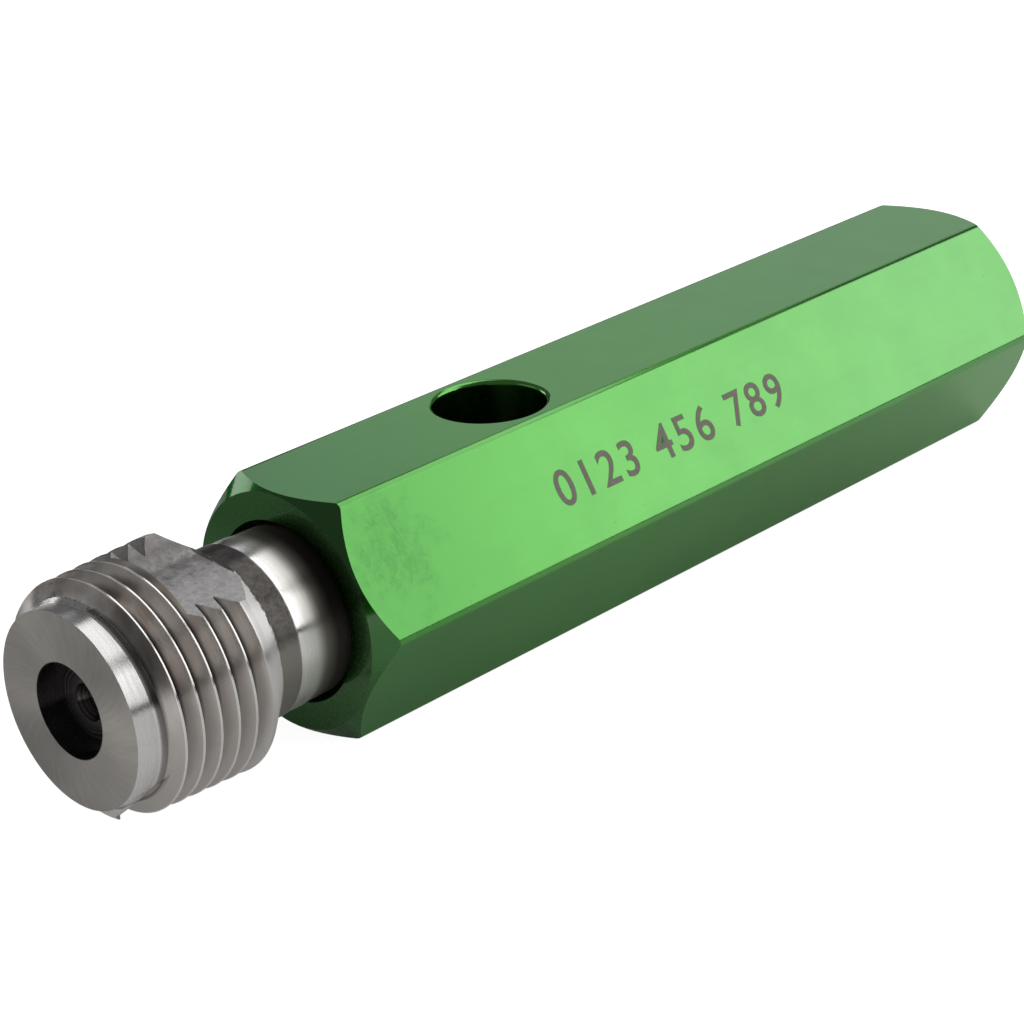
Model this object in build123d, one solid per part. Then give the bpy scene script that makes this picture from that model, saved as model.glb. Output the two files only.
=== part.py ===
from build123d import *
import os
from math import atan, degrees, radians, sqrt, tan

os.makedirs("parts", exist_ok=True)

# Handle: a hexagon bar that lies on one of its flats, sizes in mm
across_flats = 22.225
handle_length = 94.24
handle_edge_radius = 1.0
end_circle_radius = 10.93         # where the turned end chamfer meets the end face
drift_hole_radius = 5.2
drift_hole_from_front = 26.16
drift_hole_round = 0.42           # how far the rims of the drift hole are rounded
socket_chamfer = 0.6
socket_depth = 24.5
drill_point_angle = 118

# Taper fit of the shank in the socket
seat_radius_at_mouth = 7.77
seat_slope = 1 / 96
seat_clearance = 0.02
shank_into_hole = 1.7             # how far the shank's end stands into the drift hole
shank_end_chamfer = 0.5

# Taper thread of the gauging member, places counted from its small end face
member_stands_out = 23.283
thread_pitch = 25.4 / 14
thread_slope = 1 / 32
thread_flank_angle = 30
crest_radius_at_face = 10.35
crest_width = 0.14
root_width = 0.10
first_crest_at = 0.778            # where crest number 0 crosses angle 0
last_groove_turn = 6.0            # the groove ends here
thread_length = 12.98
rear_chamfer_length = 2.5
rear_chamfer_radius = 8.55

# Blunt start: the thin first turn is ground down to a land, with a sloping wall behind it at the far side
front_land_radius = 8.72
ring_step = 0.004                 # the land's first ring stands this much higher than the rest of it
land_past_crest = 0.35            # the land ends this far behind the crest line and slopes up
wall_forward = 0.38               # how far the wall stands in front of the thread's own flank
wall_start_turn = -0.13           # before this the wall is the thread's own flank
wall_run_back_turn = 0.08         # from here the wall runs back to the flank
full_groove_turn = 0.17           # from here on the groove is whole
start_flat_turn = 0.636           # a flat that leaves the land here cuts the ridge's start slantwise
full_ridge_turn = 0.722           # from here on the ridge is whole

# Neck and collar between the thread and the socket
neck_radius = 7.95
neck_fillet = 0.5
neck_end = 18.25
collar_radius = 7.87
collar_length = 2.3

# Notch that marks the gauging plane: a floor that curves up at its far side
gauging_length = 8.128
notch_floor_height = 7.98
notch_tilt = 5.0
notch_floor_past_middle = 1.0
notch_run_out_radius = 3.5

# Counterbore in the small end face, with its protected centre
recess_radius = 4.226
recess_depth = 2.0
centre_mouth_radius = 1.65
centre_angle = 60
pilot_radius = 0.8
pilot_length = 3.0

half_flats = across_flats / 2
corner_radius = across_flats / sqrt(3)
member_front = -member_stands_out
middle = (handle_length + member_front) / 2
root_depth = (thread_pitch - crest_width - root_width) / (2 * tan(radians(thread_flank_angle)))
thread_end = thread_length + rear_chamfer_length
past = 1.0                        # how far a cutting tool reaches past the metal
along_bar = Plane(origin=(0, 0, 0), x_dir=(0, 1, 0), z_dir=(1, 0, 0))


def turned(points):
    # revolves a closed outline of (place, radius) points
    corners = [(radius, 0, place) for place, radius in points]
    return revolve(make_face(Polyline(corners + corners[:1])), Axis.Z)


def seat_radius(place, clearance=0.0):
    # place is counted from the socket's mouth into the handle
    return seat_radius_at_mouth - seat_slope * place + clearance


def crest_radius(place):
    return crest_radius_at_face + thread_slope * place


def hexagon_bar():
    # two flats level, edges rounded, both ends turned to 45 degrees
    outline = RegularPolygon(corner_radius, 6)
    bar = extrude(fillet(outline.vertices(), handle_edge_radius), handle_length)
    reach = corner_radius - end_circle_radius
    return bar & turned([
        (0, 0), (0, end_circle_radius), (reach, corner_radius),
        (handle_length - reach, corner_radius), (handle_length, end_circle_radius), (handle_length, 0)])


def socket():
    # taper hole with a broken mouth and a drill point inside the drift hole
    mouth = seat_radius(0, seat_clearance)
    end = seat_radius(socket_depth, seat_clearance)
    point = end / tan(radians(drill_point_angle / 2))
    return turned([
        (-past, 0), (-past, mouth + socket_chamfer + past),
        (socket_chamfer, seat_radius(socket_chamfer, seat_clearance)),
        (socket_depth, end), (socket_depth + point, 0)])


def drift_hole():
    # crosses the bar from its top flat to its bottom flat, with rounded rims
    rim, top, bottom = drift_hole_radius + drift_hole_round, half_flats, half_flats - drift_hole_round
    outside = Polyline((rim, -top), (rim, -top - past), (0, -top - past), (0, top + past), (rim, top + past), (rim, top))
    wall = Line((drift_hole_radius, bottom), (drift_hole_radius, -bottom))
    upper = RadiusArc((rim, top), (drift_hole_radius, bottom), -drift_hole_round)
    lower = RadiusArc((drift_hole_radius, -bottom), (rim, -top), -drift_hole_round)
    return revolve(Plane.XZ * make_face(Curve() + [outside, upper, wall, lower]), Axis.Z)


def handle():
    bar = hexagon_bar() - socket()
    return along_bar.location * bar - Pos(drift_hole_from_front, 0, 0) * drift_hole()


def helical_band(section, start_turn, end_turn, run_back=0.0):
    # sweeps (place, depth) corners about the crest line, one ruled face per corner pair and turn,
    # and lets them fall behind that line by run_back
    slant = sqrt(1 + thread_slope ** 2)
    pitch = thread_pitch + run_back / (end_turn - start_turn)
    spans = max(1, round(end_turn - start_turn))
    span = (end_turn - start_turn) / spans
    faces, rims = [], []
    for number in range(spans):
        turn = start_turn + number * span
        edges = []
        for place, depth in section:
            height = first_crest_at + start_turn * thread_pitch + number * span * pitch + place
            helix = Edge.make_helix(pitch * slant, span * pitch, crest_radius(height) + depth,
                                    center=(0, 0, height), angle=degrees(atan(thread_slope)))
            edges.append(Rot(0, 0, turn * 360) * helix)
        faces += [Face.make_surface_from_curves(a, b) for a, b in zip(edges, edges[1:] + edges[:1])]
        rims += [[edge.position_at(end) for edge in edges] for end in (0, 1)]
    caps = [make_face(Polyline(rim + rim[:1])).face() for rim in (rims[0], rims[-1])]
    return Solid(Shell(faces + caps))


def thread_groove(start_turn, end_turn):
    # half a pitch behind the crest line
    middle_at = thread_pitch / 2
    top, floor = (thread_pitch - crest_width) / 2, root_width / 2
    section = [(middle_at - top, past), (middle_at - top, 0), (middle_at - floor, -root_depth),
               (middle_at + floor, -root_depth), (middle_at + top, 0), (middle_at + top, past)]
    return helical_band(section, start_turn, end_turn)


def thread():
    # the groove in front of the wall, and the whole groove behind it
    return [thread_groove(start_flat_turn - 1, wall_start_turn), thread_groove(full_groove_turn, last_groove_turn)]


def blunt_start():
    # grinds the land on both sides of the wall, then the wall and the ridge's start
    half, size = thread_pitch / 2, crest_radius_at_face
    floor = front_land_radius - crest_radius(0)
    section = [(-half, floor), (land_past_crest, floor), (half, -root_depth), (half, past), (-half, past)]
    before = helical_band(section, full_ridge_turn - 1, wall_start_turn)
    behind = helical_band(section, full_groove_turn, start_flat_turn)
    lean = tan(radians(thread_flank_angle))
    top = thread_pitch - crest_width / 2 - wall_forward
    wall_section = [(-half, floor), (top + floor * lean, floor), (top, 0), (top + past * lean, past), (-half, past)]
    wall = helical_band(wall_section, wall_start_turn, wall_run_back_turn)
    run_back = helical_band(wall_section, wall_run_back_turn, full_groove_turn, wall_forward)
    front = first_crest_at + (full_ridge_turn - 1) * thread_pitch + half
    ring = turned([(-past, crest_radius(-past) + floor + ring_step), (-past, crest_radius(front) + past),
                   (front, crest_radius(front) + past), (front, crest_radius(front) + floor + ring_step)])
    reach = first_crest_at + half + full_ridge_turn * thread_pitch
    start = Rot(0, 0, start_flat_turn * 360) * Pos(front_land_radius + size / 2, 0, 0) * Box(size, size, 2 * reach)
    return [before, wall, run_back, behind, ring, start]


def notch():
    # floor first, then the arc that runs out at the far side
    turn = notch_floor_past_middle
    far, high = turn + notch_run_out_radius, notch_floor_height + notch_run_out_radius
    near, top = -crest_radius(thread_end) - past, max(crest_radius(thread_end), high) + past
    outline = Polyline((turn, notch_floor_height), (near, notch_floor_height), (near, top), (far, top), (far, high))
    run_out = RadiusArc((turn, notch_floor_height), (far, high), -notch_run_out_radius)
    floor = make_face(Curve() + [outline, run_out])
    return Rot(0, 0, notch_tilt) * Pos(0, 0, gauging_length) * extrude(floor, neck_end - gauging_length)


def recess():
    centre_depth = (centre_mouth_radius - pilot_radius) / tan(radians(centre_angle / 2))
    return turned([
        (-past, 0), (-past, recess_radius), (recess_depth, recess_radius), (recess_depth, centre_mouth_radius),
        (recess_depth + centre_depth, pilot_radius),
        (recess_depth + centre_depth + pilot_length, pilot_radius), (recess_depth + centre_depth + pilot_length, 0)])


def gauging_member():
    shank_end = drift_hole_from_front - drift_hole_radius + shank_into_hole
    collar_end = neck_end + collar_length
    blank = turned([
        (0, 0), (0, crest_radius(0)), (thread_length, crest_radius(thread_length)),
        (thread_end, rear_chamfer_radius), (thread_end + neck_fillet, neck_radius), (neck_end, neck_radius),
        (neck_end, collar_radius), (collar_end, collar_radius),
        (collar_end, seat_radius(collar_end + member_front)),
        (shank_end - shank_end_chamfer - member_front, seat_radius(shank_end - shank_end_chamfer)),
        (shank_end - member_front, seat_radius(shank_end) - shank_end_chamfer), (shank_end - member_front, 0)])
    body = blank
    for tool in thread() + blunt_start():
        body -= tool
    body = body - notch() - recess()
    return along_bar.location * Pos(0, 0, member_front) * body


nodes = {"handle": handle(), "gauging_member": gauging_member()}
for name, shape in nodes.items():
    placed = Pos(-middle, 0, half_flats) * shape
    placed.label = name
    export_step(placed, f"parts/{name}.step")
    print(name, round(placed.volume, 1), "mm3", placed.is_valid, len(placed.solids()), len(placed.faces()))
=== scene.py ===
import math
from types import SimpleNamespace

import bpy
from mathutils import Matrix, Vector


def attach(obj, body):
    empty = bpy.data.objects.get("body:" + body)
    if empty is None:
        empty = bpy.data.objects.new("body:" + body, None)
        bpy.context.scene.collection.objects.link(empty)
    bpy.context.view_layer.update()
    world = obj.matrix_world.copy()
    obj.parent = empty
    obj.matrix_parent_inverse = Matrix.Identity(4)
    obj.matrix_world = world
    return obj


# A taper thread plug gauge: a ground steel gauging member wedged in an anodised hexagon handle.
# Metres, +Z up, +X from the gauging end to the plain end of the handle.

mm = 0.001
halfFlats = 11.1125               # mm from the bar's axis to each flat


def linear(hexColour):
    # an sRGB hex colour as the linear colour that shaders take
    parts = [int(hexColour[i:i + 2], 16) / 255 for i in (1, 3, 5)]
    parts = [c / 12.92 if c <= 0.04045 else ((c + 0.055) / 1.055) ** 2.4 for c in parts]
    return (*parts, 1.0)


def addNode(tree, kind, inputs=None, **settings):
    # adds one node: settings go on the node, and each input takes a value or a link from another node
    node = tree.nodes.new(kind)
    for name, value in settings.items():
        setattr(node, name, value)
    for key, source in (inputs or {}).items():
        named = [i for i in node.inputs if i.enabled and i.name == key]
        socket = node.inputs[key] if isinstance(key, int) else named[0]
        if isinstance(source, bpy.types.Node):
            source = next(o for o in source.outputs if o.enabled)
        if isinstance(source, bpy.types.NodeSocket):
            tree.links.new(source, socket)
        else:
            socket.default_value = source
    return node


def span(ends, shares=(0.0, 1.0)):
    # the inputs of a Map Range node that goes from the first share to the second between two ends
    return {1: ends[0], 2: ends[1], 3: shares[0], 4: shares[1]}


def whereAll(tree, *shares):
    # 1 only where every share is 1
    product = shares[0]
    for share in shares[1:]:
        product = addNode(tree, "ShaderNodeMath", {0: product, 1: share}, operation="MULTIPLY")
    return product


def layered(tree, tone, layers):
    # lays colours over a tone in turn, each where its share is 1
    for share, colour in layers:
        colour = linear(colour) if isinstance(colour, str) else colour
        tone = addNode(tree, "ShaderNodeMix", {"Factor": share, "A": tone, "B": colour}, data_type="RGBA")
    return tone


def newMaterial(name):
    material = bpy.data.materials.new(name)
    material.use_nodes = True
    tree = material.node_tree
    tree.nodes.clear()
    return material, tree


def placeInMm(tree, origin=(0, 0, 0)):
    # a point's place in the frame, counted in mm from an origin that is given in mm
    world = addNode(tree, "ShaderNodeTexCoord").outputs["Object"]
    back = [-v for v in origin]
    return addNode(tree, "ShaderNodeVectorMath", {0: world, 1: (1000, 1000, 1000), 2: back},
                   operation="MULTIPLY_ADD")


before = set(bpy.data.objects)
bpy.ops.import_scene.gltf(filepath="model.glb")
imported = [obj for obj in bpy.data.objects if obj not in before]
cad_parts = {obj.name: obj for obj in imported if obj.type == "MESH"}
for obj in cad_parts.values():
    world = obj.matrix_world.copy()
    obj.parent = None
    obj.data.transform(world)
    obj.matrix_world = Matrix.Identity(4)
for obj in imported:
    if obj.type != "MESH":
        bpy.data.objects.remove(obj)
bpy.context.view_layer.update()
print("frame loaded:", sorted(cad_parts))


# Handle: places are in mm, and a range along the bar is counted from the frame's middle
anodised = {
    "dye": "#57B142",             # the dyed oxide over bright aluminium
    "deep": "#2E8A1F",            # where the oxide is thick
    "deepShare": 0.30,
    "socketEndShade": "#3F9A2C",       # painted shade: darker towards the socket end
    "socketEndShadeRange": (-40.0, 2.0),
    "plainEndSheen": "#86B48C",           # and a painted sheen, paler towards the plain end
    "plainEndSheenRange": (-15.0, 45.0),
    "plainEndSheenShare": 0.20,
    "grease": "#2A8A18",          # a greasy smudge near the socket
    "smudgeAt": (-30.6, -9.2, 17.6),
    "smudgeSize": (5.2, 5.6, 5.6),
    "smudgeRagged": 3.4,
    "smudgeRim": (2.95, 1.95),
    "greaseDulls": 0.10,
    "turned": "#24701A",          # painted shade: the turned ends are coloured darker than the drawn flats
    "turnedFacing": (0.60, 0.68),
    "turnedDulls": 0.06,
    "holeAt": -9.32,              # the cross hole's wall is as bright as the flats
    "holeReach": 8.0,
    "specksPerMm": 0.33,
    "speckSize": (0.04, 0.02),
    "drawingLines": (0.09, 2.6, 2.6),     # lines per mm along the bar and across it
    "lineDepth": 0.006,
    "roughness": (0.17, 0.24),
    "grazing": "#9CCB90",         # the dye tints the metal's grazing reflection too
    "coatRoughness": 0.09,
    "oxideIor": 1.67,
}


def smudgeShare(tree, inMm):
    # a greasy smudge: wiped streaks inside a ragged outline
    inSmudge = addNode(tree, "ShaderNodeMapping", {
        "Vector": inMm, "Location": anodised["smudgeAt"], "Scale": anodised["smudgeSize"]},
        vector_type="TEXTURE")
    away = addNode(tree, "ShaderNodeVectorMath", {0: inSmudge}, operation="LENGTH").outputs["Value"]
    smear = addNode(tree, "ShaderNodeTexNoise", {
        "Vector": inMm, "Scale": 0.42, "Detail": 8.0, "Roughness": 0.72}).outputs["Fac"]
    away = addNode(tree, "ShaderNodeMath", {0: smear, 1: anodised["smudgeRagged"], 2: away},
                   operation="MULTIPLY_ADD")
    inside = addNode(tree, "ShaderNodeMapRange", {0: away, **span(anodised["smudgeRim"])},
                     interpolation_type="SMOOTHSTEP")
    wiped = addNode(tree, "ShaderNodeVectorMath", {0: inMm, 1: (1.5, 0.8, 0.8)}, operation="MULTIPLY")
    wiped = addNode(tree, "ShaderNodeTexNoise", {
        "Vector": wiped, "Scale": 0.9, "Detail": 8.0, "Roughness": 0.78, "Distortion": 1.4}).outputs["Fac"]
    wiped = addNode(tree, "ShaderNodeMapRange", {0: wiped, **span((0.40, 0.62), (0.12, 1.0))})
    return whereAll(tree, inside, wiped)


def turnedEndShade(tree, along):
    # turned ends and chamfers, but not the wall of the cross hole: painted shade darkens them, and their
    # finish is duller
    facing = addNode(tree, "ShaderNodeNewGeometry").outputs["Normal"]
    endOn = addNode(tree, "ShaderNodeVectorMath", {0: facing, 1: (1, 0, 0)}, operation="DOT_PRODUCT")
    endOn = addNode(tree, "ShaderNodeMath", {0: endOn.outputs["Value"]}, operation="ABSOLUTE")
    endOn = addNode(tree, "ShaderNodeMapRange", {0: endOn, **span(anodised["turnedFacing"])})
    nearHole = addNode(tree, "ShaderNodeMath", {0: along, 1: anodised["holeAt"], 2: anodised["holeReach"]},
                       operation="COMPARE")
    clear = addNode(tree, "ShaderNodeMath", {0: 1.0, 1: nearHole}, operation="SUBTRACT")
    return whereAll(tree, endOn, clear)


def anodisedAluminium():
    # green dyed anodised aluminium, bright dipped: metal seen through a clear dyed oxide skin
    material, tree = newMaterial("anodisedAluminium")
    inMm = placeInMm(tree)
    along = addNode(tree, "ShaderNodeSeparateXYZ", {0: inMm}).outputs["X"]

    # faint lines from drawing the bar, and a cloudy unevenness of the dye
    drawn = addNode(tree, "ShaderNodeVectorMath", {0: inMm, 1: anodised["drawingLines"]},
                    operation="MULTIPLY")
    drawn = addNode(tree, "ShaderNodeTexNoise", {
        "Vector": drawn, "Scale": 1.0, "Detail": 3.0, "Roughness": 0.6}).outputs["Fac"]
    cloud = addNode(tree, "ShaderNodeTexNoise", {
        "Vector": inMm, "Scale": 0.16, "Detail": 5.0, "Roughness": 0.6}).outputs["Fac"]
    cloudy = addNode(tree, "ShaderNodeMapRange", {
        0: cloud, **span((0.3, 0.7), (0.0, anodised["deepShare"]))})
    # painted shade towards the socket end and a painted sheen towards the plain end, along the bar
    socketEndShade = addNode(tree, "ShaderNodeMapRange", {
        0: along, **span(anodised["socketEndShadeRange"], (1.0, 0.0))}, interpolation_type="SMOOTHERSTEP")
    plainEndSheen = addNode(tree, "ShaderNodeMapRange", {
        0: along, **span(anodised["plainEndSheenRange"], (0.0, anodised["plainEndSheenShare"]))})

    smudge = smudgeShare(tree, inMm)
    turned = turnedEndShade(tree, along)
    speck = addNode(tree, "ShaderNodeTexVoronoi", {
        "Vector": inMm, "Scale": anodised["specksPerMm"], "Randomness": 1.0}, feature="F1")
    speck = addNode(tree, "ShaderNodeMapRange", {
        0: speck.outputs["Distance"], **span(anodised["speckSize"], (0.0, 0.6))})
    # the turned ends' darker colour is painted shade; the specks share that colour
    tone = layered(tree, linear(anodised["dye"]), [
        (cloudy, anodised["deep"]), (socketEndShade, anodised["socketEndShade"]), (plainEndSheen, anodised["plainEndSheen"]),
        (smudge, anodised["grease"]), (turned, anodised["turned"]), (speck, anodised["turned"])])

    gloss = addNode(tree, "ShaderNodeMapRange", {0: drawn, **span((0.3, 0.7), anodised["roughness"])})
    for share, dulls in ((smudge, anodised["greaseDulls"]), (turned, anodised["turnedDulls"])):
        gloss = addNode(tree, "ShaderNodeMath", {0: share, 1: dulls, 2: gloss}, operation="MULTIPLY_ADD")
    bump = addNode(tree, "ShaderNodeBump", {
        "Strength": 0.4, "Distance": anodised["lineDepth"] * mm, "Height": drawn})
    shader = addNode(tree, "ShaderNodeBsdfPrincipled", {
        "Base Color": tone, "Metallic": 1.0, "Roughness": gloss, "Normal": bump,
        "Specular Tint": linear(anodised["grazing"]),
        "Coat Weight": 1.0, "Coat Roughness": anodised["coatRoughness"], "Coat IOR": anodised["oxideIor"]})
    addNode(tree, "ShaderNodeOutputMaterial", {"Surface": shader})
    return material


# Gauging member: places are in mm behind its small end face, heights in mm above its axis
gauge = {
    "faceAt": -58.7615,           # where the small end face is in the frame
    "crestRadius": 10.35,
    "threadSlope": 1 / 32,
    "rootDepth": 1.36,            # of the thread, below its crest line
    "landDepth": (1.60, 1.50),    # the land lies deeper than this
    "threadEnds": (12.6, 12.2),
    "bandFrom": (12.95, 13.0),    # the rear chamfer, turned in fine steps
    "bandTo": (15.6, 15.3),
    "raggedFrom": (13.0, 14.0),   # the dirt between these ends has a ragged edge
    "raggedTo": (17.9, 17.0),
    "neckFrom": (15.3, 15.5),
    "neckTo": (18.25, 18.2),
    "notchFrom": (8.10, 8.12),
    "notchTo": (15.1, 15.5),
    "notchFloor": 7.98,
    "notchTilt": 5.0,             # degrees
    "notchFloorPastMiddle": 1.0,
    "notchRunOut": 3.5,           # the radius of the floor's far side
    "notchFloorWithin": 0.07,
    "farTeethFrom": (1.5, 3.0),   # the teeth that the notch cut through at its far side
    "farTeethHeight": (7.0, 7.6),
    "faceTurned": (0.9, 0.97),    # how far the small end face looks to the front
    "faceWithin": (0.05, 0.02),
    "recessRadius": (4.3, 4.26),
    "crestHighlightDepth": (0.10, 0.04),    # crests get a painted highlight down to this depth
    "stainRange": (-6.0, 7.5),    # height less place, where stains grow from the first share to the second
    "stainShares": (0.05, 0.8),
    "darkReflectionSide": (2.0, -1.5),       # painted dark reflection is thick past these ends, towards the camera's side and upwards
    "darkReflectionHeight": (-3.0, 2.5),
    "darkFrom": (1.30, 0.98),      # how deep the darkening begins, where it is thin and where it is thick
    "darkShares": (0.5, 0.78),
    "tornAt": 2.02,               # depth and noise added up, at the torn line behind the land, which gets a painted highlight
    "tornWidth": 0.13,
    "tornHeight": (5.0, 6.5),
    "tornWithin": (3.2, 2.9),
    "neckDarkHeight": (2.6, 5.0),
    "farShadeFrom": (2.6, 6.6),    # place across the notch and noise added up
    "swirlTurn": 0.10,            # radians per mm from the axis
    "swirlSpokes": 14,
    "ringsPerMm": 5.0,
    "rampLength": 26.0,           # the two rows of stops below reach this far
    # the last two stops darken the collar's end next to the socket: painted shade
    "sectionTonesAndShade": [(0.0, "#ECEAE8"), (2.2, "#ECEAE8"), (2.6, "#CFCAC5"), (12.2, "#CFCAC5"),
                 (12.6, "#E4E2E0"), (15.2, "#E4E2E0"), (15.5, "#A19C96"), (18.1, "#A19C96"),
                 (18.2, "#F6F4F1"), (20.0, "#EFECE6"), (21.2, "#8A857D"), (22.5, "#4E4A46")],
    "gloss": [(0.0, 0.26), (2.0, 0.26), (2.4, 0.30), (12.2, 0.30), (12.6, 0.36), (15.2, 0.36), (15.5, 0.4),
              (18.1, 0.4), (18.2, 0.14), (26.0, 0.18)],
    "crestGloss": 0.2,
    "mattGloss": 0.40,            # the small end face and the milled notch
    "faceSteel": "#C2BEB8",
    # ground crests painted brighter: a painted highlight
    "crestHighlight": "#F4F2EF",
    "flankStain": "#9A8880",
    # darker roots, and painted dark reflection on the upper-front flanks
    "rootDark": "#2A2522",
    # painted highlight along the torn line
    "tornEdgeHighlight": "#F2F2F4",
    "notchSteel": "#F3F0EC",
    # painted shade on the far side of the notch
    "notchFarShade": "#A5A1A0",
    "notchBare": 0.62,            # the milled floor is so matt that it scatters part of the light
    "recessDark": "#3B3838",
    "neckTopDark": "#5E5A57",
    "anisotropy": 0.9,
    "reliefDepth": 0.012,
}


def fillRamp(node, stops, colours):
    # puts (place, value) stops on a colour ramp
    ramp = node.color_ramp
    for place, value in stops:
        stop = ramp.elements.new(place / gauge["rampLength"])
        stop.color = linear(value) if colours else (value, value, value, 1)
    ramp.elements.remove(ramp.elements[0])
    ramp.elements.remove(ramp.elements[-1])


def steelPlaces(tree):
    # where a point is on the gauging member, with the noises that its zones share
    inMm = placeInMm(tree, (gauge["faceAt"], 0, halfFlats))
    place, across, up = addNode(tree, "ShaderNodeSeparateXYZ", {0: inMm}).outputs
    spoke = addNode(tree, "ShaderNodeVectorMath", {0: inMm, 1: (0, 1, 1)}, operation="MULTIPLY")
    radius = addNode(tree, "ShaderNodeVectorMath", {0: spoke}, operation="LENGTH").outputs["Value"]
    outward = addNode(tree, "ShaderNodeVectorMath", {0: spoke}, operation="NORMALIZE")
    facing = addNode(tree, "ShaderNodeNewGeometry").outputs["Normal"]

    # how deep a point is in the thread, counted from the crest line
    crest = addNode(tree, "ShaderNodeMath", {0: place, 1: gauge["threadSlope"], 2: gauge["crestRadius"]},
                    operation="MULTIPLY_ADD")
    depth = addNode(tree, "ShaderNodeMath", {0: crest, 1: radius}, operation="SUBTRACT")

    # cloudy noise for stains and ragged edges, and fine grinding lines that run round the gauge
    cloud = addNode(tree, "ShaderNodeTexNoise", {
        "Vector": inMm, "Scale": 1.1, "Detail": 6.0, "Roughness": 0.65}).outputs["Fac"]
    stretched = addNode(tree, "ShaderNodeVectorMath", {0: inMm, 1: (9.0, 0.35, 0.35)}, operation="MULTIPLY")
    lines = addNode(tree, "ShaderNodeTexNoise", {
        "Vector": stretched, "Scale": 1.0, "Detail": 3.0, "Roughness": 0.6}).outputs["Fac"]

    # the place along the axis, with a ragged edge of dirt where the neck begins
    ragged = addNode(tree, "ShaderNodeMath", {0: cloud, 1: 2.4, 2: -1.2}, operation="MULTIPLY_ADD")
    behind = addNode(tree, "ShaderNodeMapRange", {0: place, **span(gauge["raggedFrom"])})
    before = addNode(tree, "ShaderNodeMapRange", {0: place, **span(gauge["raggedTo"])})
    along = addNode(tree, "ShaderNodeMath", {0: ragged, 1: whereAll(tree, behind, before), 2: place},
                    operation="MULTIPLY_ADD")
    return SimpleNamespace(inMm=inMm, place=place, across=across, up=up, radius=radius, outward=outward,
                           facing=facing, depth=depth, cloud=cloud, lines=lines, ragged=ragged, along=along)


def neckTopShare(tree, at):
    # darker in blotches over the neck's upper side
    onNeck = addNode(tree, "ShaderNodeMapRange", {0: at.along, **span(gauge["neckFrom"])})
    offNeck = addNode(tree, "ShaderNodeMapRange", {0: at.place, **span(gauge["neckTo"])})
    upper = addNode(tree, "ShaderNodeMath", {0: at.cloud, 1: 3.0, 2: at.up}, operation="MULTIPLY_ADD")
    upper = addNode(tree, "ShaderNodeMapRange", {0: upper, **span(gauge["neckDarkHeight"])})
    blotch = addNode(tree, "ShaderNodeTexNoise", {
        "Vector": at.inMm, "Scale": 1.7, "Detail": 7.0, "Roughness": 0.75}).outputs["Fac"]
    blotch = addNode(tree, "ShaderNodeMapRange", {0: blotch, **span((0.35, 0.65), (0.55, 1.0))})
    return whereAll(tree, onNeck, offNeck, upper, blotch)


def threadShares(tree, at):
    # the thread, its stained flanks, its darker roots with a painted dark reflection, its torn edge with a
    # painted highlight, and its ground crests painted brighter as a highlight
    onThread = addNode(tree, "ShaderNodeMapRange", {0: at.place, **span(gauge["threadEnds"])})
    offLand = addNode(tree, "ShaderNodeMapRange", {0: at.depth, **span(gauge["landDepth"])})
    onThread = whereAll(tree, onThread, offLand)

    # stains, most of them high up near the front
    haze = addNode(tree, "ShaderNodeTexNoise", {
        "Vector": at.inMm, "Scale": 0.45, "Detail": 2.0, "Roughness": 0.5}).outputs["Fac"]
    stain = addNode(tree, "ShaderNodeMapRange", {0: haze, **span((0.35, 0.70))})
    early = addNode(tree, "ShaderNodeMath", {0: at.up, 1: at.place}, operation="SUBTRACT")
    early = addNode(tree, "ShaderNodeMapRange", {
        0: early, **span(gauge["stainRange"], gauge["stainShares"])})
    stain = whereAll(tree, stain, early, onThread)

    # the roots are darker, and a painted dark reflection lies thickly where the upper side turns down
    # towards the front
    turnedDown = addNode(tree, "ShaderNodeMath", {0: at.cloud, 1: 6.0, 2: at.across},
                         operation="MULTIPLY_ADD")
    turnedDown = addNode(tree, "ShaderNodeMapRange", {0: turnedDown, **span(gauge["darkReflectionSide"])})
    raised = addNode(tree, "ShaderNodeMapRange", {0: at.up, **span(gauge["darkReflectionHeight"])})
    darkReflection = whereAll(tree, turnedDown, raised)
    deepFrom = addNode(tree, "ShaderNodeMapRange", {0: darkReflection, **span((0.0, 1.0), gauge["darkFrom"])})
    most = addNode(tree, "ShaderNodeMapRange", {0: darkReflection, **span((0.0, 1.0), gauge["darkShares"])})
    darkRoots = addNode(tree, "ShaderNodeMapRange", {
        0: at.depth, **span((deepFrom, gauge["rootDepth"]), (0.0, most))})
    darkRoots = whereAll(tree, darkRoots, onThread)

    # a ragged painted highlight line where the land was ground back to the root
    tornAt = addNode(tree, "ShaderNodeTexNoise", {
        "Vector": at.inMm, "Scale": 2.2, "Detail": 6.0, "Roughness": 0.75}).outputs["Fac"]
    tornAt = addNode(tree, "ShaderNodeMath", {0: tornAt, 1: 1.1, 2: at.depth}, operation="MULTIPLY_ADD")
    tornHighlight = addNode(tree, "ShaderNodeMath", {0: tornAt, 1: gauge["tornAt"], 2: gauge["tornWidth"]},
                   operation="COMPARE")
    upper = addNode(tree, "ShaderNodeMapRange", {0: at.up, **span(gauge["tornHeight"])})
    clean = addNode(tree, "ShaderNodeMapRange", {0: darkReflection, **span((0.35, 0.15))})
    firstTurn = addNode(tree, "ShaderNodeMapRange", {0: at.place, **span(gauge["tornWithin"])})
    tornHighlight = whereAll(tree, tornHighlight, upper, clean, firstTurn)

    # crests painted brighter: a painted highlight
    crest = addNode(tree, "ShaderNodeMapRange", {0: at.depth, **span(gauge["crestHighlightDepth"])})
    return SimpleNamespace(thread=onThread, stain=stain, darkRoots=darkRoots, tornHighlight=tornHighlight,
                           crest=whereAll(tree, crest, onThread))


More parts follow.
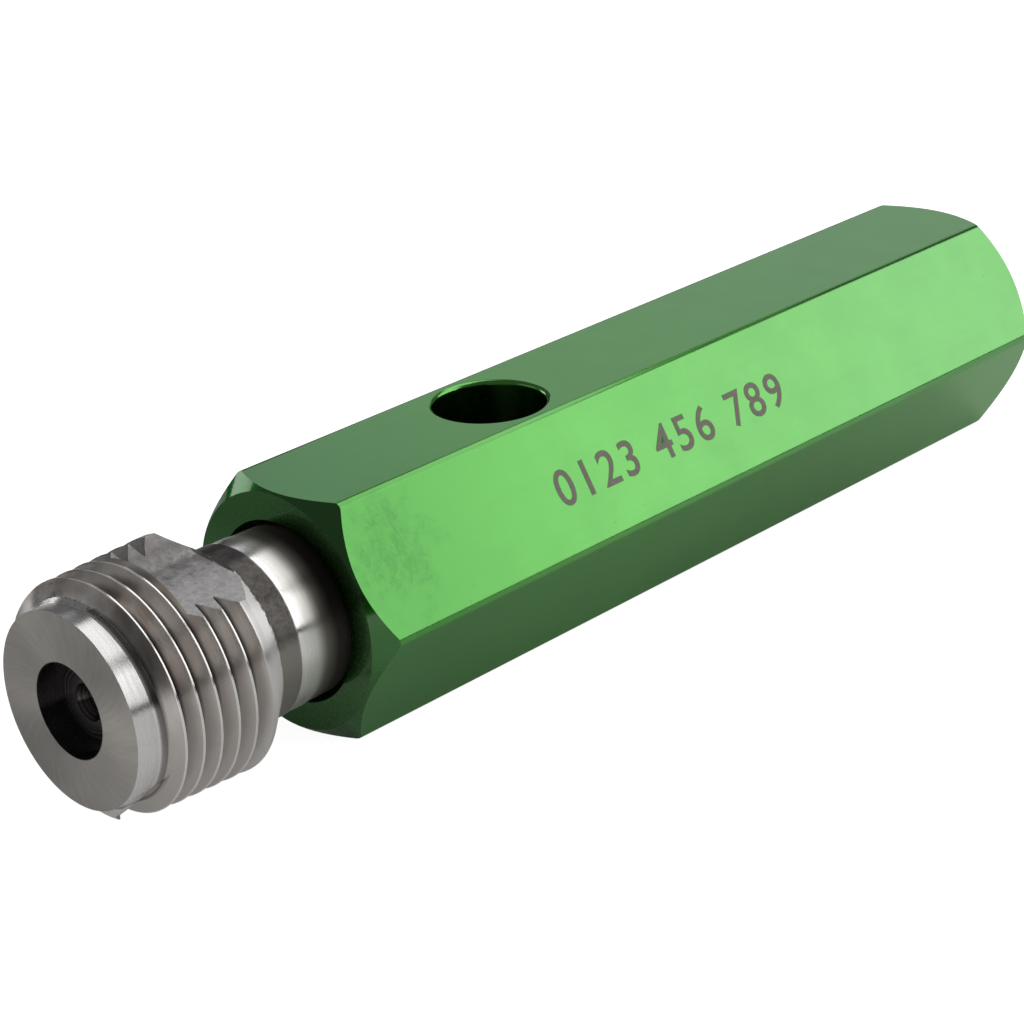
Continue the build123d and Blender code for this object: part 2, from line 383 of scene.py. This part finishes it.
def notchShares(tree, at, onThread):
    # the milled notch, whose floor curves up at its far side, and the teeth that it cut through there
    tilt = math.radians(gauge["notchTilt"])
    upright = (0, -math.sin(tilt), math.cos(tilt))
    sideways = (0, math.cos(tilt), math.sin(tilt))
    height = addNode(tree, "ShaderNodeVectorMath", {0: at.inMm, 1: upright}, operation="DOT_PRODUCT")
    over = addNode(tree, "ShaderNodeVectorMath", {0: at.inMm, 1: sideways}, operation="DOT_PRODUCT")
    height, over = height.outputs["Value"], over.outputs["Value"]

    # the height of the floor's arc, from how far the point is past the arc's start
    bend = gauge["notchRunOut"]
    run = addNode(tree, "ShaderNodeMath", {0: over, 1: gauge["notchFloorPastMiddle"]}, operation="SUBTRACT")
    run = addNode(tree, "ShaderNodeMath", {0: run, 1: 0.0}, operation="MAXIMUM")
    run = addNode(tree, "ShaderNodeMath", {0: run, 1: run}, operation="MULTIPLY")
    run = addNode(tree, "ShaderNodeMath", {0: run, 1: -1.0, 2: bend ** 2}, operation="MULTIPLY_ADD")
    run = addNode(tree, "ShaderNodeMath", {0: run, 1: 0.5}, operation="POWER")
    floor = addNode(tree, "ShaderNodeMath", {0: run, 1: -1.0, 2: gauge["notchFloor"] + bend},
                    operation="MULTIPLY_ADD")
    onFloor = addNode(tree, "ShaderNodeMath", {0: height, 1: floor, 2: gauge["notchFloorWithin"]},
                      operation="COMPARE")
    past = addNode(tree, "ShaderNodeMapRange", {0: at.place, **span(gauge["notchFrom"])})
    rearEdge = addNode(tree, "ShaderNodeMapRange", {0: at.ragged, **span((-1.2, 1.2), gauge["notchTo"])})
    ahead = addNode(tree, "ShaderNodeMath", {0: at.place, 1: rearEdge}, operation="LESS_THAN")
    inNotch = whereAll(tree, onFloor, past, ahead)

    # mottled steel, with painted shade in blotches towards the far side, where the floor curves up
    far = addNode(tree, "ShaderNodeMath", {0: at.cloud, 1: 9.0, 2: over}, operation="MULTIPLY_ADD")
    far = addNode(tree, "ShaderNodeMapRange", {0: far, **span(gauge["farShadeFrom"])})
    milled = layered(tree, linear(gauge["notchSteel"]), [(far, gauge["notchFarShade"])])
    mottle = addNode(tree, "ShaderNodeTexNoise", {
        "Vector": at.inMm, "Scale": 1.9, "Detail": 5.0, "Roughness": 0.6, "Distortion": 0.8}).outputs["Fac"]
    mottle = addNode(tree, "ShaderNodeMapRange", {0: mottle, **span((0.38, 0.62), (0.80, 1.08))})
    milled = addNode(tree, "ShaderNodeVectorMath", {0: milled, 1: mottle}, operation="MULTIPLY")

    beyond = addNode(tree, "ShaderNodeMapRange", {0: over, **span(gauge["farTeethFrom"])})
    high = addNode(tree, "ShaderNodeMapRange", {0: at.up, **span(gauge["farTeethHeight"])})
    farTeeth = whereAll(tree, beyond, past, high, onThread)
    return SimpleNamespace(floor=inNotch, milled=milled, farTeeth=farTeeth)


def faceSwirls(tree, at):
    # the small end face: ground, with faint swirls from its centre
    toFront = addNode(tree, "ShaderNodeVectorMath", {0: at.facing, 1: (-1, 0, 0)}, operation="DOT_PRODUCT")
    toFront = addNode(tree, "ShaderNodeMapRange", {
        0: toFront.outputs["Value"], **span(gauge["faceTurned"])})
    atFace = addNode(tree, "ShaderNodeMapRange", {0: at.place, **span(gauge["faceWithin"])})
    turn = addNode(tree, "ShaderNodeMath", {0: at.radius, 1: gauge["swirlTurn"]}, operation="MULTIPLY")
    spun = addNode(tree, "ShaderNodeVectorRotate", {"Vector": at.outward, "Angle": turn},
                   rotation_type="X_AXIS")
    spun = addNode(tree, "ShaderNodeVectorMath", {0: spun, 1: [gauge["swirlSpokes"]] * 3},
                   operation="MULTIPLY")
    swirl = addNode(tree, "ShaderNodeVectorMath", {0: at.inMm, 1: (0, 0.45, 0.45), 2: spun},
                    operation="MULTIPLY_ADD")
    swirl = addNode(tree, "ShaderNodeTexNoise", {
        "Vector": swirl, "Scale": 1.0, "Detail": 5.0, "Roughness": 0.7}).outputs["Fac"]
    share = addNode(tree, "ShaderNodeMapRange", {0: swirl, **span((0.3, 0.7), (0.9, 1.1))})
    tone = addNode(tree, "ShaderNodeVectorMath", {0: linear(gauge["faceSteel"])[:3], 1: share},
                   operation="MULTIPLY")
    return SimpleNamespace(face=whereAll(tree, toFront, atFace), tone=tone, relief=swirl)


def recessRings(tree, at):
    # counterbore: dark, the tool's rings still showing
    inRecess = addNode(tree, "ShaderNodeMapRange", {0: at.radius, **span(gauge["recessRadius"])})
    step = addNode(tree, "ShaderNodeMath", {0: at.radius, 1: gauge["ringsPerMm"]}, operation="MULTIPLY")
    rings = addNode(tree, "ShaderNodeTexNoise", {"W": step, "Scale": 1.0, "Detail": 3.0, "Roughness": 0.7},
                    noise_dimensions="1D").outputs["Fac"]
    share = addNode(tree, "ShaderNodeMapRange", {0: rings, **span((0.35, 0.7), (0.5, 4.0))})
    tone = addNode(tree, "ShaderNodeVectorMath", {0: linear(gauge["recessDark"])[:3], 1: share},
                   operation="MULTIPLY")
    return SimpleNamespace(recess=inRecess, tone=tone, relief=rings)


def steppedNormal(tree, at, inNotch):
    # the rear chamfer is turned in fine steps, whose lands face straight outwards
    after = addNode(tree, "ShaderNodeMapRange", {0: at.place, **span(gauge["bandFrom"])})
    before = addNode(tree, "ShaderNodeMapRange", {0: at.along, **span(gauge["bandTo"])})
    notMilled = addNode(tree, "ShaderNodeMath", {0: 1.0, 1: inNotch}, operation="SUBTRACT")
    onBand = whereAll(tree, before, after, notMilled, 0.85)
    stepped = addNode(tree, "ShaderNodeMix", {"Factor": onBand, "A": at.facing, "B": at.outward},
                      data_type="VECTOR")
    return addNode(tree, "ShaderNodeVectorMath", {0: stepped}, operation="NORMALIZE")


def gaugeSteel():
    # hardened tool steel: ground face, land, thread and collar, a rough dark neck darker on top, a dark
    # counterbore
    material, tree = newMaterial("hardenedGroundSteel")
    at = steelPlaces(tree)
    darkNeckTop = neckTopShare(tree, at)
    on = threadShares(tree, at)
    notch = notchShares(tree, at, on.thread)
    front = faceSwirls(tree, at)
    bore = recessRings(tree, at)

    # tone and gloss of each section along the axis, with painted shade at the collar's end next to the
    # socket, and then of the special places
    along = addNode(tree, "ShaderNodeMath", {0: at.along, 1: 1 / gauge["rampLength"]}, operation="MULTIPLY")
    tone = addNode(tree, "ShaderNodeValToRGB", {0: along})
    fillRamp(tone, gauge["sectionTonesAndShade"], True)
    tone = layered(tree, tone, [
        (darkNeckTop, gauge["neckTopDark"]), (on.stain, gauge["flankStain"]), (on.darkRoots, gauge["rootDark"]),
        (on.tornHighlight, gauge["tornEdgeHighlight"]), (on.crest, gauge["crestHighlight"]), (notch.floor, notch.milled),
        (front.face, front.tone), (bore.recess, bore.tone), (notch.farTeeth, notch.milled)])
    gloss = addNode(tree, "ShaderNodeValToRGB", {0: along})
    fillRamp(gloss, gauge["gloss"], False)
    rough = addNode(tree, "ShaderNodeMath", {0: notch.floor, 1: notch.farTeeth}, operation="MAXIMUM")
    matt = addNode(tree, "ShaderNodeMath", {0: rough, 1: front.face}, operation="MAXIMUM")
    for share, value in ((matt, gauge["mattGloss"]), (on.crest, gauge["crestGloss"])):
        gloss = addNode(tree, "ShaderNodeMix", {"Factor": share, "A": gloss, "B": value}, data_type="FLOAT")
    uneven = addNode(tree, "ShaderNodeMapRange", {0: at.lines, **span((0.3, 0.7), (-0.03, 0.05))})
    gloss = addNode(tree, "ShaderNodeMath", {0: gloss, 1: uneven}, operation="ADD")
    bare = addNode(tree, "ShaderNodeMapRange", {0: rough, **span((0.0, 1.0), (1.0, gauge["notchBare"]))})

    # grinding lines, swirls, blotches and rings in relief
    relief = at.lines
    for share, height in ((front.face, front.relief), (notch.floor, at.cloud), (bore.recess, bore.relief)):
        relief = addNode(tree, "ShaderNodeMix", {"Factor": share, "A": relief, "B": height},
                         data_type="FLOAT")
    bump = addNode(tree, "ShaderNodeBump", {
        "Strength": 0.5, "Distance": gauge["reliefDepth"] * mm, "Height": relief,
        "Normal": steppedNormal(tree, at, notch.floor)})
    tangent = addNode(tree, "ShaderNodeVectorMath", {0: at.outward, 1: (1, 0, 0)}, operation="ADD")
    shader = addNode(tree, "ShaderNodeBsdfPrincipled", {
        "Base Color": tone, "Metallic": bare, "Roughness": gloss, "Anisotropic": gauge["anisotropy"],
        "Normal": bump, "Tangent": tangent})
    addNode(tree, "ShaderNodeOutputMaterial", {"Surface": shader})
    return material


for name, make in (("handle", anodisedAluminium), ("gauging_member", gaugeSteel)):
    made = make()
    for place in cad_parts[name].material_slots:
        place.material = made
print("materials given")


# Marking on the bright side flat, in mm
marking = {
    "figures": "0123 456 789",    # plain figures, in the place and at the size of the real marking
    "textSize": 4.75,             # gives figures 3.35 mm tall
    "startsAt": -11.3,            # along the bar
    "baseline": -1.9,             # from the flat's middle line
    "spacing": 1.2,
    "flatTurn": 60,               # degrees from the top flat
    "thickness": 0.016,
    "burnt": "#8B7D79",
    "burntGrow": -0.01,
    "burntProud": 0.012,
    "rim": "#4E9A44",             # the oxide is only heated round the burnt lines
    "rimGrow": 0.06,
    "rimProud": 0.004,
    "grainPerMm": 5.0,
    "grainDepth": 0.01,
}


def laserMark(name, colour, roughness):
    # laser marked oxide: burnt matt and grey where the beam passed, with a fine grain
    material, tree = newMaterial(name)
    grain = addNode(tree, "ShaderNodeTexNoise", {
        "Vector": placeInMm(tree), "Scale": marking["grainPerMm"], "Detail": 4.0,
        "Roughness": 0.7}).outputs["Fac"]
    share = addNode(tree, "ShaderNodeMapRange", {0: grain, **span((0.3, 0.7), (0.8, 1.2))})
    tone = addNode(tree, "ShaderNodeVectorMath", {0: linear(colour)[:3], 1: share}, operation="MULTIPLY")
    bump = addNode(tree, "ShaderNodeBump", {
        "Strength": 0.5, "Distance": marking["grainDepth"] * mm, "Height": grain})
    shader = addNode(tree, "ShaderNodeBsdfPrincipled", {
        "Base Color": tone, "Metallic": 0.35, "Roughness": roughness, "Normal": bump})
    addNode(tree, "ShaderNodeOutputMaterial", {"Surface": shader})
    return material


def addMarking(name, grow, proud, material):
    # figures that read from the socket end, grown outwards by grow, their middle standing proud
    turn = math.radians(marking["flatTurn"])
    outwards, upwards = (-math.sin(turn), math.cos(turn)), (math.cos(turn), math.sin(turn))
    reach, rise = halfFlats + proud, marking["baseline"]
    side, height = [outwards[i] * reach + upwards[i] * rise for i in (0, 1)]
    bpy.ops.object.select_all(action="DESELECT")
    bpy.ops.object.text_add(location=(marking["startsAt"] * mm, side * mm, (height + halfFlats) * mm),
                            rotation=(turn, 0, 0))
    figures = bpy.context.object
    figures.name = name
    figures.data.body = marking["figures"]
    figures.data.size = marking["textSize"] * mm
    figures.data.space_character = marking["spacing"]
    figures.data.offset = grow * mm
    figures.data.extrude = marking["thickness"] / 2 * mm
    figures.data.resolution_u = 6
    bpy.ops.object.convert(target="MESH")
    bpy.ops.object.transform_apply(location=True, rotation=True, scale=True)
    bpy.ops.object.mode_set(mode="EDIT")
    bpy.ops.mesh.select_all(action="SELECT")
    bpy.ops.mesh.remove_doubles(threshold=0.001 * mm)
    bpy.ops.mesh.normals_make_consistent(inside=False)
    bpy.ops.object.mode_set(mode="OBJECT")
    figures = bpy.context.object
    figures.data.materials.clear()
    figures.data.materials.append(material)
    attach(figures, "root")
    along = [v.co.x / mm for v in figures.data.vertices]
    print(name, "from", round(min(along), 2), "to", round(max(along), 2), "mm along the bar")


addMarking("markedFigures", marking["burntGrow"], marking["burntProud"],
           laserMark("laserMarkedOxide", marking["burnt"], 0.5))
addMarking("markedFiguresRim", marking["rimGrow"], marking["rimProud"],
           laserMark("heatedOxide", marking["rim"], 0.3))


# Studio: metres and degrees; a pair says where a shade in the paper's reflection begins and is full
studio = {
    "paper": "#DADADA",           # the floor's own colour
    "paperSize": 1.6,
    "paperGlow": 0.93,            # how much of the floor's white the camera sees as light of its own
    "paperInMetal": 0.34,         # the share of that glow which metal sees
    "shadedPaper": 0.07,          # the same where the handle shades the paper
    "underAlong": [(-0.052, -0.036), (0.075, 0.02)],
    "underBeside": (-0.028, -0.014),
    "underHandle": 0.82,          # how fully the handle shades the paper under it
    "leftAlong": (-0.088, -0.068),
    "leftBeside": [(0.006, 0.022), (0.17, 0.10)],
    "leftDark": 0.45,             # how much of the lit paper is lost to shade on its left
    "leftDarkAlong": (-0.052, -0.064),
    "nearFace": (-0.094, -0.062),         # the paper is brighter away from the small end face
    "nearFaceShares": (1.4, 0.72),
    "paperEnds": (-0.135, -0.155),
    "room": 0.12,                 # how bright the dark room round the lamps is
    "roomLow": 0.012,             # and just above the paper
    "roomHeights": (0.05, 0.22),
    "lampHeight": 0.011,          # the lamps face a point this high above the paper
    "cameraAt": (-0.1744, -0.170438, 0.113099),
    "cameraTurn": (66.7065, 3.4607, -45.9158),
    "cameraLens": 98.6207,        # mm, on a sensor 36 mm wide
}


def backgroundShare(tree, share):
    # 1 for the camera, share for what metal and glass reflect or pass, 0 for the light that falls on things
    path = addNode(tree, "ShaderNodeLightPath")
    mirrored = addNode(tree, "ShaderNodeMath", {
        0: path.outputs["Is Glossy Ray"], 1: path.outputs["Is Transmission Ray"]}, operation="MAXIMUM")
    return addNode(tree, "ShaderNodeMath", {0: mirrored, 1: share, 2: path.outputs["Is Camera Ray"]},
                   operation="MULTIPLY_ADD", use_clamp=True)


def shadeWithin(tree, sides):
    # 1 where the paper is shaded, from (coordinate, ends) pairs
    return whereAll(tree, *[
        addNode(tree, "ShaderNodeMapRange", {0: coordinate, **span(ends)}, interpolation_type="SMOOTHSTEP")
        for coordinate, ends in sides])


def makeFloor():
    # a sheet of white paper that keeps the object's shadow
    bpy.ops.mesh.primitive_plane_add(size=studio["paperSize"], location=(0, 0, 0))
    floor = bpy.context.object
    floor.name = "floor"
    material, tree = newMaterial("paperSweep")
    place = addNode(tree, "ShaderNodeTexCoord").outputs["Object"]
    along, beside, _ = addNode(tree, "ShaderNodeSeparateXYZ", {0: place}).outputs

    # metal sees less of the glow where the handle shades the paper, under it and to its left
    under = shadeWithin(tree, [*((along, ends) for ends in studio["underAlong"]),
                               (beside, studio["underBeside"])])
    under = whereAll(tree, under, studio["underHandle"])
    left = shadeWithin(tree, [(along, studio["leftAlong"]),
                              *((beside, ends) for ends in studio["leftBeside"])])
    shaded = addNode(tree, "ShaderNodeMath", {0: under, 1: left}, operation="MAXIMUM")
    share = addNode(tree, "ShaderNodeMapRange", {
        0: shaded, **span((0.0, 1.0), (studio["paperInMetal"], studio["shadedPaper"]))})
    nearFace = addNode(tree, "ShaderNodeMapRange", {
        0: along, **span(studio["nearFace"], studio["nearFaceShares"])})
    seen = backgroundShare(tree, whereAll(tree, share, nearFace))
    glow = addNode(tree, "ShaderNodeEmission", {"Strength": whereAll(tree, seen, studio["paperGlow"])})
    paper = addNode(tree, "ShaderNodeBsdfDiffuse", {"Color": linear(studio["paper"])})
    lit = addNode(tree, "ShaderNodeAddShader", {0: paper, 1: glow})

    # in reflections the paper ends in front of the gauge, where the dark room begins
    ends = addNode(tree, "ShaderNodeMapRange", {0: along, **span(studio["paperEnds"])})
    lost = whereAll(tree, left, shadeWithin(tree, [(along, studio["leftDarkAlong"])]), studio["leftDark"])
    ends = addNode(tree, "ShaderNodeMath", {0: ends, 1: lost}, operation="MAXIMUM")
    ends = whereAll(tree, ends, addNode(tree, "ShaderNodeLightPath").outputs["Is Glossy Ray"])
    dark = addNode(tree, "ShaderNodeEmission", {"Color": (0, 0, 0, 1)})
    surface = addNode(tree, "ShaderNodeMixShader", {0: ends, 1: lit, 2: dark})
    addNode(tree, "ShaderNodeOutputMaterial", {"Surface": surface})
    floor.data.materials.append(material)


def makeWorld():
    # a dim room for what metal sees, darkest just above the paper, and white for the camera
    world = bpy.data.worlds.new("studioWorld")
    world.use_nodes = True
    tree = world.node_tree
    tree.nodes.clear()
    way = addNode(tree, "ShaderNodeTexCoord").outputs["Generated"]
    height = addNode(tree, "ShaderNodeSeparateXYZ", {0: way}).outputs["Z"]
    dim = addNode(tree, "ShaderNodeMapRange", {
        0: height, **span(studio["roomHeights"], (studio["roomLow"], studio["room"]))})
    room = addNode(tree, "ShaderNodeBackground", {"Color": (1, 1, 1, 1), "Strength": dim})
    white = addNode(tree, "ShaderNodeBackground", {"Color": (1, 1, 1, 1), "Strength": 1.0})
    mix = addNode(tree, "ShaderNodeMixShader", {0: backgroundShare(tree, 0.0), 1: room, 2: white})
    addNode(tree, "ShaderNodeOutputWorld", {"Surface": mix})
    bpy.context.scene.world = world


def addLamp(name, azimuth, elevation, distance, size, glow, colour="#FFFFFF"):
    # a softbox in that direction from the gauge, facing it
    # glow is how bright its cloth looks, where 1 is white
    turn, rise = math.radians(azimuth), math.radians(elevation)
    way = Vector((math.cos(turn) * math.cos(rise), math.sin(turn) * math.cos(rise), math.sin(rise)))
    place = way * distance + Vector((0, 0, studio["lampHeight"]))
    bpy.ops.object.light_add(type="AREA", location=place)
    lamp = bpy.context.object
    lamp.name = name
    lamp.data.shape = "RECTANGLE"
    lamp.data.size, lamp.data.size_y = size
    lamp.data.energy = glow * math.pi * size[0] * size[1]
    lamp.data.color = linear(colour)[:3]
    lamp.rotation_euler = way.to_track_quat("Z", "Y").to_euler()


def makeCamera():
    # at the photograph's angle, as the camera fit gave it
    data = bpy.data.cameras.new("camera")
    camera = bpy.data.objects.new("camera", data)
    bpy.context.scene.collection.objects.link(camera)
    camera.location = studio["cameraAt"]
    camera.rotation_euler = [math.radians(a) for a in studio["cameraTurn"]]
    data.sensor_width = 36
    data.lens = studio["cameraLens"]
    data.clip_start, data.clip_end = 0.01, 20
    bpy.context.scene.camera = camera


makeFloor()
makeWorld()
addLamp("sideSoftbox", -44, 25, 0.8, (0.80, 0.585), 1.35)
addLamp("topSoftbox", -5, 64, 0.8, (0.75, 0.49), 1.25)
addLamp("backPanel", 35.5, 24, 0.9, (0.56, 0.50), 0.50, "#F4F4FF")
addLamp("leftCard", 93, 12, 0.9, (0.30, 0.25), 1.4)
addLamp("wallCard", 138, 21, 0.9, (0.60, 0.30), 0.30)
makeCamera()
bpy.context.scene.view_settings.view_transform = "Standard"
print("studio set")
